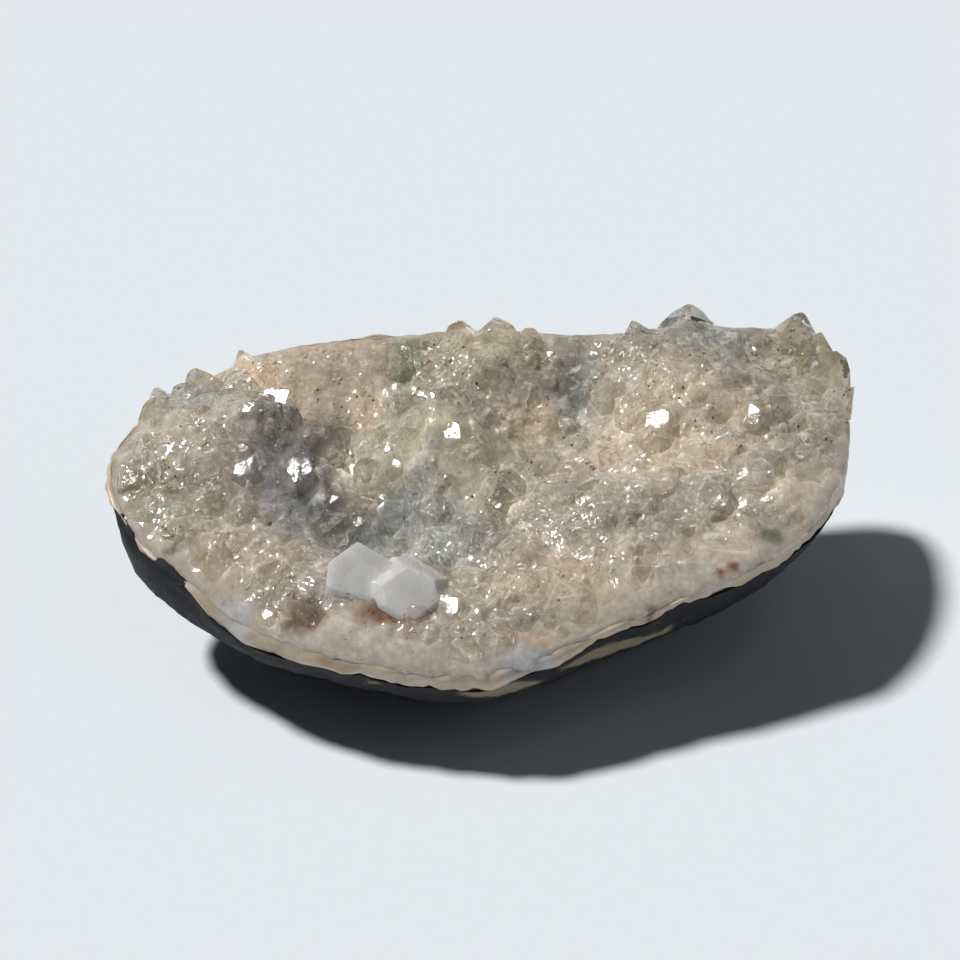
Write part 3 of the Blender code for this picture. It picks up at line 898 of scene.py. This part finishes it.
class DRUSE_OT_rind(bpy.types.Operator):
    """Make the broken basalt rind round its solid"""

    bl_idname = "druse.rind"
    bl_label = "Basalt rind"

    def execute(self, context):
        sizes = context.scene.druse_sizes
        mesh = rounded_copy("basalt_rind", 3)
        normals = [v.normal.copy() for v in mesh.vertices]
        pale = []
        for vert, normal in zip(mesh.vertices, normals):
            at = vert.co.copy()
            x, y, z = to_design(at)
            over_foot = clamped(z / FOOT_HEIGHT)
            rough = fractal(at, 8, 4) * 0.9
            rough += abs(fractal(at + Vector((0.1, 0, 0)), 3, 3)) * 0.5
            ledge = fractal(Vector((at.x * 0.35, at.y * 0.35, at.z * 1.6)), 2.2, 3) * 0.5
            vert.co += normal * (rough + ledge - 0.5) * sizes.rind_relief * over_foot
            vert.co.z += wall_shift(x, y, z) * MM * over_foot
            vert.co += normal * belly(x, y, z) * MM
            show = 0
            for patch_x, patch_z, half_x, half_z in BARE_PATCHES if y < 0 else ():
                distance = math.hypot((x - patch_x) / half_x, (z - patch_z) / half_z)
                distance += 0.3 * fractal(at, 5, 4)
                show = max(show, clamped((1.1 - distance) * 4, 0, 0.9))
            pale.append(show)
        paint(mesh, "pale", pale)
        mesh.shade_smooth()
        place("broken_basalt_rind", mesh, basalt(), "basalt", "basalt_rind")
        return {"FINISHED"}


class DRUSE_OT_lining(bpy.types.Operator):
    """Make the cream chalcedony band and the layer under the crystals"""

    bl_idname = "druse.lining"
    bl_label = "Chalcedony lining"

    def execute(self, context):
        sizes = context.scene.druse_sizes
        mesh = rounded_copy("chalcedony_lining", 3)
        normals = [v.normal.copy() for v in mesh.vertices]
        tints = []
        for vert, normal in zip(mesh.vertices, normals):
            at = vert.co.copy()
            x, y, z = to_design(at)
            swell = fractal(at, 7, 3) * 0.9 + fractal(at, 2.2, 3) * 0.35
            top = clamped((normal.z - 0.3) / 0.4)
            vert.co += normal * (swell * (1 - 0.6 * top) - 0.5 * top) * sizes.band_relief
            station, out = spoke_at(x, y)
            if normal.z > 0.2:
                under_crust = 3.2 * clamped((crust_edge(station) - out) / 0.06)
                under_dish = 5 * clamped((0.75 - out) / 0.2)
                vert.co.z -= (under_crust + under_dish) * MM
            vert.co.z += wall_shift(x, y, z) * MM
            tints.append(tuple(growth_and_shade_colour(station[0], station[1], RIM_CREAM)))
        paint(mesh, "growth_and_shade", tints)
        mesh.shade_smooth()
        place("chalcedony_band", mesh, chalcedony(), "chalcedony", "chalcedony_lining")
        return {"FINISHED"}


def floor_shape(step):
    """The floor between the crystals: a slab with a lumpy top that ends just inside the rim."""
    half_x = 80
    half_y = 46
    shape = bmesh.new()
    bmesh.ops.create_grid(
        shape, x_segments=int(2 * half_x / step), y_segments=int(2 * half_y / step), size=1,
        matrix=Matrix.Translation((*MIDDLE, 0)) @ Matrix.Diagonal((half_x, half_y, 1, 1)))
    outside = []
    for vert in shape.verts:
        x, y, _ = vert.co
        station, out = spoke_at(x, y)
        reach = reach_of(station)
        limit = 1 - (0.6 + 0.4 * noise.noise(Vector((x, y, 0)) * 0.4)) / reach
        if out > limit + step * 1.2 / reach:
            outside.append(vert)
            continue
        if out > limit:
            vert.co.xy = MIDDLE + (vert.co.xy - MIDDLE) * limit / out
            x, y, _ = vert.co
        vert.co.z = floor_height(x, y)
    bmesh.ops.delete(shape, geom=outside, context="VERTS")
    bmesh.ops.recalc_face_normals(shape, faces=shape.faces[:])
    lower = bmesh.ops.extrude_face_region(shape, geom=shape.faces[:], use_keep_orig=True)["geom"]
    for vert in lower:
        if isinstance(vert, bmesh.types.BMVert):
            station, out = spoke_at(vert.co.x, vert.co.y)
            inward = (1 - out) * reach_of(station)
            vert.co.z -= min(1 + 0.5 * inward, 5)
    bmesh.ops.recalc_face_normals(shape, faces=shape.faces[:])
    return shape


def crystal_mesh(shape, bevel, colour):
    """A crystal's mesh: its edges rubbed and marked to be painted pale, a painted highlight that is
    partly their own frosting, its body colour noted.
    """
    rubbed_and_highlit = shape.faces.layers.float.new("edge")
    if bevel:
        least = math.radians(8)
        sharp = [e for e in shape.edges if e.is_manifold and e.calc_face_angle(0) > least]
        made = bmesh.ops.bevel(
            shape, geom=sharp, offset=bevel, offset_type="OFFSET", affect="EDGES", segments=1,
            profile=0.5, material=-1, clamp_overlap=True)
        for face in made["faces"]:
            face[rubbed_and_highlit] = 1
    mesh = finish_mesh(shape, "crystal")
    paint(mesh, "growth_and_shade", [tuple(colour)] * len(mesh.vertices))
    return mesh


def gather(name, meshes):
    """Many meshes as one, with their colours kept."""
    whole = bmesh.new()
    for mesh in meshes:
        whole.from_mesh(mesh)
        bpy.data.meshes.remove(mesh)
    made = bpy.data.meshes.new(name)
    whole.to_mesh(made)
    whole.free()
    return made


def shade_by_area(made):
    """Let large faces look flat, and only the slivers between them round."""
    flat = made.modifiers.new("flat_faces", "WEIGHTED_NORMAL")
    flat.mode = "FACE_AREA"
    flat.weight = 100


def place_crystals(name, meshes, finish, lets_light_through=False):
    """Crystals as one piece, shaded flat on their faces and round over their rubbed edges. Those
    that let light through leave what is under them lit."""
    mesh = gather(name, meshes)
    mesh.transform(DESIGN_TO_FRAME)
    mesh.shade_smooth()
    made = place(name, mesh, finish, "quartz", "crystal_crust")
    shade_by_area(made)
    made.visible_shadow = not lets_light_through


def large_shape(crystal, chance):
    """One of the crystals that the solids have, with its faces cut."""
    x, y, width, length, lean_x, lean_y, turn = crystal
    is_white = crystal[:2] in WHITE_CRYSTALS
    if is_white:
        width *= 1.25
        y -= WHITE_FORWARD
    shape = quartz_crystal(width * 1.12, length * 0.72 + 1.6, ROOT + 2, chance)
    lift = 0.2 if is_white else -0.5
    shape.transform(crystal_matrix(x, y, relief(x, y) + lift, lean_x, lean_y, turn))
    for _ in range(2):
        facing = Vector((chance.gauss(0, 0.5), chance.gauss(-0.2, 0.5), 1)).normalized()
        cut_in(shape, facing, width * chance.uniform(0.05, 0.2))
    trim_to_rim(shape, x, y)
    if is_white:
        cut_in(shape, Vector((0.15, -0.6, 0.8)).normalized(), width * 0.2)
    return shape


def trim_to_rim(shape, x, y):
    """Break a crystal off flush with the rim, and from under it, where it would hang over."""
    station, out = spoke_at(x, y)
    if out < 0.8:
        return
    outward = (Vector((x, y)) - MIDDLE).normalized()
    limit = MIDDLE + outward * (reach_of(station) + 0.4)
    cut_face(shape, Vector((*limit, 0)), Vector((*outward, 0)))
    cut_face(shape, Vector((0, 0, min(station[2], relief(x, y)) - 1.5)), Vector((0, 0, -1)))


def flashing_shape(flash, chance):
    """A crystal with a face turned to throw the key light to the camera."""
    x, y, height, size = flash
    shape = quartz_crystal(size * 1.7, size * 0.9, ROOT, chance)
    z = relief(x, y) + height - size * 0.8
    shape.transform(crystal_matrix(x, y, z, chance.uniform(-15, 15), -25, chance.uniform(0, 60)))
    face_light(shape, size)
    trim_to_rim(shape, x, y)
    return shape


def repainted(mesh, colour):
    """A crystal's mesh with its body colour changed."""
    for item in mesh.attributes["growth_and_shade"].data:
        item.color = (*colour, 1)
    return mesh


def tops_of(context, *names):
    """The height of the topmost of some pieces over a point."""
    depsgraph = context.evaluated_depsgraph_get()
    trees = [BVHTree.FromObject(bpy.data.objects[name], depsgraph) for name in names]

    def top(x, y):
        hits = [tree.ray_cast(to_frame((x, y, 100)), Vector((0, 0, -1)))[0] for tree in trees]
        return max((hit.z / MM for hit in hits if hit), default=floor_height(x, y))

    return top


def strewn(chance, count, widths, spacing, shapes, height=floor_height):
    """Meshes of crystals strewn over the druse, and where each is. Widths are the least and the
    most; spacing is the least distance as a share of two neighbours' mean width."""
    meshes = []
    places = []
    taken = {}
    for _ in range(count * TRIES_EACH):
        x = chance.uniform(*DRUSE_ACROSS)
        y = chance.uniform(*DRUSE_BACK)
        width = between(*widths, chance.random() ** 1.5)
        station, out = spoke_at(x, y)
        if out > 1 - (0.2 + width * 0.65) / reach_of(station):
            continue
        if waxiness(x, y) > chance.uniform(0.2, 1):
            continue
        if calm(x, y) and width > 1.2 and chance.random() < 0.95:
            continue
        behind = (x, y + WHITE_FORWARD)
        if any(math.dist(behind, place) < 6 + width / 3 for place in WHITE_CRYSTALS):
            continue
        clear = width * 0.35 + 1.5
        if width > 3 and any(math.dist((x, y), place) < clear for place in OPEN_FLASHES):
            continue
        cell = (round(x / widths[1]), round(y / widths[1]))
        around = [(cell[0] + i, cell[1] + j) for i in (-1, 0, 1) for j in (-1, 0, 1)]
        near = [p for neighbour in around for p in taken.get(neighbour, ())]
        if any(math.dist((x, y), p[:2]) < spacing * (width + p[2]) / 2 for p in near):
            continue
        taken.setdefault(cell, []).append((x, y, width))
        lean_x, lean_y = (lean * 0.8 + chance.gauss(0, 15) for lean in slope(x, y))
        z = height(x, y) - width * SUNK
        matrix = crystal_matrix(x, y, z, lean_x, lean_y, chance.uniform(0, 60))
        mesh = chance.choice(shapes).copy()
        length = width * chance.uniform(0.65, 1.05)
        mesh.transform(matrix @ Matrix.Diagonal((width, width, length, 1)))
        meshes.append(mesh)
        places.append((x, y))
        if len(meshes) == count:
            break
    return meshes, places


def templates(chance, count, bevel):
    """Crystals a millimetre wide to strew."""
    made = []
    for _ in range(count):
        shape = quartz_crystal(1, chance.uniform(0.4, 0.6), 0.2, chance)
        facing = Vector((chance.gauss(0, 0.5), chance.gauss(0, 0.5), 1)).normalized()
        cut_in(shape, facing, chance.uniform(0.05, 0.25))
        made.append(crystal_mesh(shape, bevel, (1, 1, 1)))
    return made


def ridges(mesh):
    """How sharply the mesh folds at each vertex: up to 1 on a ridge, down to -1 in a cleft."""
    shape = bmesh.new()
    shape.from_mesh(mesh)
    found = []
    for vert in shape.verts:
        folds = [e.calc_face_angle_signed(0) for e in vert.link_edges]
        fold = max(folds, key=abs)
        found.append(clamped(fold / math.radians(50), -1))
    shape.free()
    return found


class DRUSE_OT_mass(bpy.types.Operator):
    """Make the milky quartz: the floor and the crystals that run together with it"""

    bl_idname = "druse.mass"
    bl_label = "Milky mass"

    def execute(self, context):
        sizes = context.scene.druse_sizes
        champagne = context.scene.druse_colours.champagne
        chance = random.Random(MASS_SEED)
        shapes = templates(chance, 24, 0)
        meshes, places = strewn(chance, sizes.small_count, (1.5, 5), 0.8, shapes)
        meshes.append(finish_mesh(floor_shape(sizes.sugar_step / MM), "slab"))
        body = linked("body", gather("body", meshes))
        fuse = body.modifiers.new("fuse", "REMESH")
        fuse.mode = "VOXEL"
        fuse.voxel_size = sizes.mass_step / MM
        depsgraph = context.evaluated_depsgraph_get()
        faces = len(body.evaluated_get(depsgraph).data.polygons)
        fewer = body.modifiers.new("fewer", "DECIMATE")
        fewer.ratio = min(sizes.mass_triangles / (2 * faces), 1)
        depsgraph = context.evaluated_depsgraph_get()
        mesh = bpy.data.meshes.new_from_object(body.evaluated_get(depsgraph))
        bpy.data.objects.remove(body)
        finder = KDTree(len(places))
        for number, (x, y) in enumerate(places):
            finder.insert((x, y, 0), number)
        finder.balance()
        shades = [chance.uniform(0.86, 1.06) for _ in places]
        colours = []
        for vert in mesh.vertices:
            x, y, _ = vert.co
            colour = growth_and_shade_colour(x, y, champagne)
            _, number, distance = finder.find((x, y, 0))
            colours.append(tuple(colour * between(shades[number], 1, min(distance / 4, 1))))
        paint(mesh, "growth_and_shade", colours)
        # The folds, which the quartz paints pale on ridges as a painted highlight and dark in
        # clefts as painted shade.
        paint(mesh, "edge", ridges(mesh))
        paint(mesh, "wax", [waxiness(v.co.x, v.co.y) for v in mesh.vertices])
        mesh.transform(DESIGN_TO_FRAME)
        mesh.shade_smooth()
        milky = quartz("milky_quartz", 0, 0.08, 4, 1.1, 0.3)
        made = place("milky_mass", mesh, milky, "quartz", "crystal_crust")
        shade_by_area(made)
        return {"FINISHED"}


class DRUSE_OT_points(bpy.types.Operator):
    """Make the clear, cloudy and white crystals and those that flash in the light"""

    bl_idname = "druse.points"
    bl_label = "Clear and white crystals"

    def execute(self, context):
        sizes = context.scene.druse_sizes
        bevel = sizes.edge_bevel / MM
        colours = context.scene.druse_colours
        groups = {"clear": [], "cloudy": [], "white": []}
        chance = random.Random(POINTS_SEED)
        for crystal in (*crystals(), *BRINK_CRYSTALS):
            x, y = crystal[:2]
            colour = growth_and_shade_colour(x, y, colours.champagne).lerp(PALE_INSIDE, 0.5)
            kind = "clear" if x < 12 or y > 33 else "cloudy"
            if (x, y) in WHITE_CRYSTALS:
                colour = colours.white
                kind = "white"
            groups[kind].append(crystal_mesh(large_shape(crystal, chance), bevel, colour))
        shapes = templates(chance, 16, 0.04)
        for count, widths in ((sizes.cloudy_count, (7, 15)), (sizes.cloudy_count // 2, (3, 6))):
            for mesh, (x, y) in zip(*strewn(chance, count, widths, 0.66, shapes)):
                colour = growth_and_shade_colour(x, y, colours.champagne).lerp(PALE_INSIDE, 0.38)
                groups["cloudy"].append(repainted(mesh, colour))
        flashing = []
        for flash in FLASHES:
            shape = flashing_shape(flash, chance)
            colour = growth_and_shade_colour(*flash[:2], colours.champagne)
            flashing.append(crystal_mesh(shape, bevel, colour))
        clear = quartz("clear_quartz", 0.95, 0.03, 3, 3.5, 0.07)
        cloudy = quartz("cloudy_quartz", 0.8, 0.04, 4, 3.2, 0.07)
        smooth = quartz("smooth_quartz", 0.6, 0.1, 3, 1.6, 0.13, ripple=0.6)
        white = quartz("white_quartz", 0.12, 0.06, 3.5, 4, 0.1, shade=0.08, lined=True)
        place_crystals("clear_points", groups["clear"], clear, True)
        place_crystals("cloudy_points", groups["cloudy"], cloudy, True)
        place_crystals("flashing_points", flashing, smooth, True)
        place_crystals("white_points", groups["white"], white)
        return {"FINISHED"}


class DRUSE_OT_grains(bpy.types.Operator):
    """Strew the grains that glint over the mass"""

    bl_idname = "druse.grains"
    bl_label = "Sugar grains"

    def execute(self, context):
        sizes = context.scene.druse_sizes
        champagne = context.scene.druse_colours.champagne
        chance = random.Random(GRAINS_SEED)
        shapes = templates(chance, 12, 0)
        top = tops_of(context, "milky_mass", "clear_points", "cloudy_points")
        meshes = []
        for count, height in ((sizes.grain_count, floor_height), (sizes.grain_count // 2, top)):
            for mesh, (x, y) in zip(*strewn(chance, count, (0.3, 1), 0, shapes, height)):
                pale = growth_and_shade_colour(x, y, champagne).lerp(Vector((1, 1, 1)), 0.3)
                meshes.append(repainted(mesh, pale))
        sugary = quartz("sugary_quartz", 0, 0.08, 0.3, 3, 0)
        place_crystals("sugar_grains", meshes, sugary)
        return {"FINISHED"}


class DRUSE_OT_specks(bpy.types.Operator):
    """Strew grains of iron oxide in patches"""

    bl_idname = "druse.specks"
    bl_label = "Iron specks"

    def execute(self, context):
        sizes = context.scene.druse_sizes
        chance = random.Random(SPECKS_SEED)
        top = tops_of(context, "milky_mass", "clear_points", "cloudy_points")
        shapes = templates(chance, 8, 0)
        tried = sizes.speck_count * 3
        meshes = []
        for mesh, (x, y) in zip(*strewn(chance, tried, (0.25, 0.65), 0, shapes, top)):
            patchy = noise.noise(Vector((x, y, 40)) * 0.09)
            patchy += 0.5 * noise.noise(Vector((x, y, 20)) * 0.4)
            if patchy > 0.2:
                meshes.append(mesh)
        made = gather("iron_specks", meshes)
        made.transform(DESIGN_TO_FRAME)
        place("iron_specks", made, iron_grains(), None, "crystal_crust")
        return {"FINISHED"}


class DRUSE_OT_stage(bpy.types.Operator):
    """Set the plain pale floor, the light and the camera"""

    bl_idname = "druse.stage"
    bl_label = "Stage"

    def execute(self, context):
        scene = context.scene
        shape = bmesh.new()
        bmesh.ops.create_grid(shape, x_segments=1, y_segments=1, size=3)
        floor = linked("floor", finish_mesh(shape, "floor"))
        made, tree, shader, place_of = new_material("matt_card")
        colour = scene.druse_colours.floor
        tooth = noise_of(tree, place_of, 3, 1)
        card = mix(tree, tooth, (*[value * 0.97 for value in colour], 1), (*colour, 1))
        feed(tree, shader, Base_Color=card, Roughness=0.9, Specular_IOR_Level=0.1)
        floor.data.materials.append(made)
        key = bpy.data.lights.new("key", "SUN")
        key.energy = 3.0
        key.angle = math.radians(7)
        key_object = linked("key", key)
        key_object.rotation_euler = KEY_TRAVEL.to_track_quat("-Z", "Y").to_euler()
        world = bpy.data.worlds.new("fill")
        world.use_nodes = True
        tree = world.node_tree
        way = add(tree, "ShaderNodeTexCoord").outputs["Generated"]
        panels = add(tree, "ShaderNodeTexNoise", Vector=way, Scale=2.6, Detail=1.0).outputs["Fac"]
        behind = add(
            tree, "ShaderNodeVectorMath", {"operation": "DOT_PRODUCT"}, i0=way,
            i1=(0.75, 0.6, 0.2)).outputs["Value"]
        strength = calculated(
            tree, "MULTIPLY", spread(tree, panels, 0.57, 0.62, 0.012, 0.42),
            spread(tree, behind, -0.3, 0.9, 0.08, 2.4))
        feed(tree, tree.nodes["Background"], Color=(0.9, 0.95, 1, 1), Strength=strength)
        scene.world = world
        camera = bpy.data.cameras.new("camera")
        camera.lens = 65
        camera.sensor_width = 36
        camera_object = linked("camera", camera)
        camera_object.location = to_frame(CAMERA_AT)
        camera_object.rotation_euler = (CAMERA_AIM - CAMERA_AT).to_track_quat("-Z", "Y").to_euler()
        scene.camera = camera_object
        scene.view_settings.view_transform = "Standard"
        return {"FINISHED"}


class DRUSE_PT_panel(bpy.types.Panel):
    """The druse's sizes, colours and makers"""

    bl_idname = "DRUSE_PT_panel"
    bl_label = "Quartz druse"
    bl_space_type = "VIEW_3D"
    bl_region_type = "UI"
    bl_category = "Druse"

    def draw(self, context):
        for group in (context.scene.druse_sizes, context.scene.druse_colours):
            for name in group.__annotations__:
                self.layout.prop(group, name)
        for maker in MAKERS:
            self.layout.operator(maker.bl_idname)


MAKERS = (
    DRUSE_OT_stage,
    DRUSE_OT_rind,
    DRUSE_OT_lining,
    DRUSE_OT_mass,
    DRUSE_OT_points,
    DRUSE_OT_grains,
    DRUSE_OT_specks,
)


def register():
    for item in (DruseSizes, DruseColours, *MAKERS, DRUSE_PT_panel):
        bpy.utils.register_class(item)
    bpy.types.Scene.druse_sizes = PointerProperty(type=DruseSizes)
    bpy.types.Scene.druse_colours = PointerProperty(type=DruseColours)


def unregister():
    del bpy.types.Scene.druse_colours
    del bpy.types.Scene.druse_sizes
    for item in (DRUSE_PT_panel, *reversed(MAKERS), DruseColours, DruseSizes):
        bpy.utils.unregister_class(item)


def main():
    register()
    bpy.ops.druse.stage()
    bpy.ops.druse.rind()
    bpy.ops.druse.lining()
    bpy.ops.druse.mass()
    bpy.ops.druse.points()
    bpy.ops.druse.grains()
    bpy.ops.druse.specks()


if __name__ == "__main__":
    main()
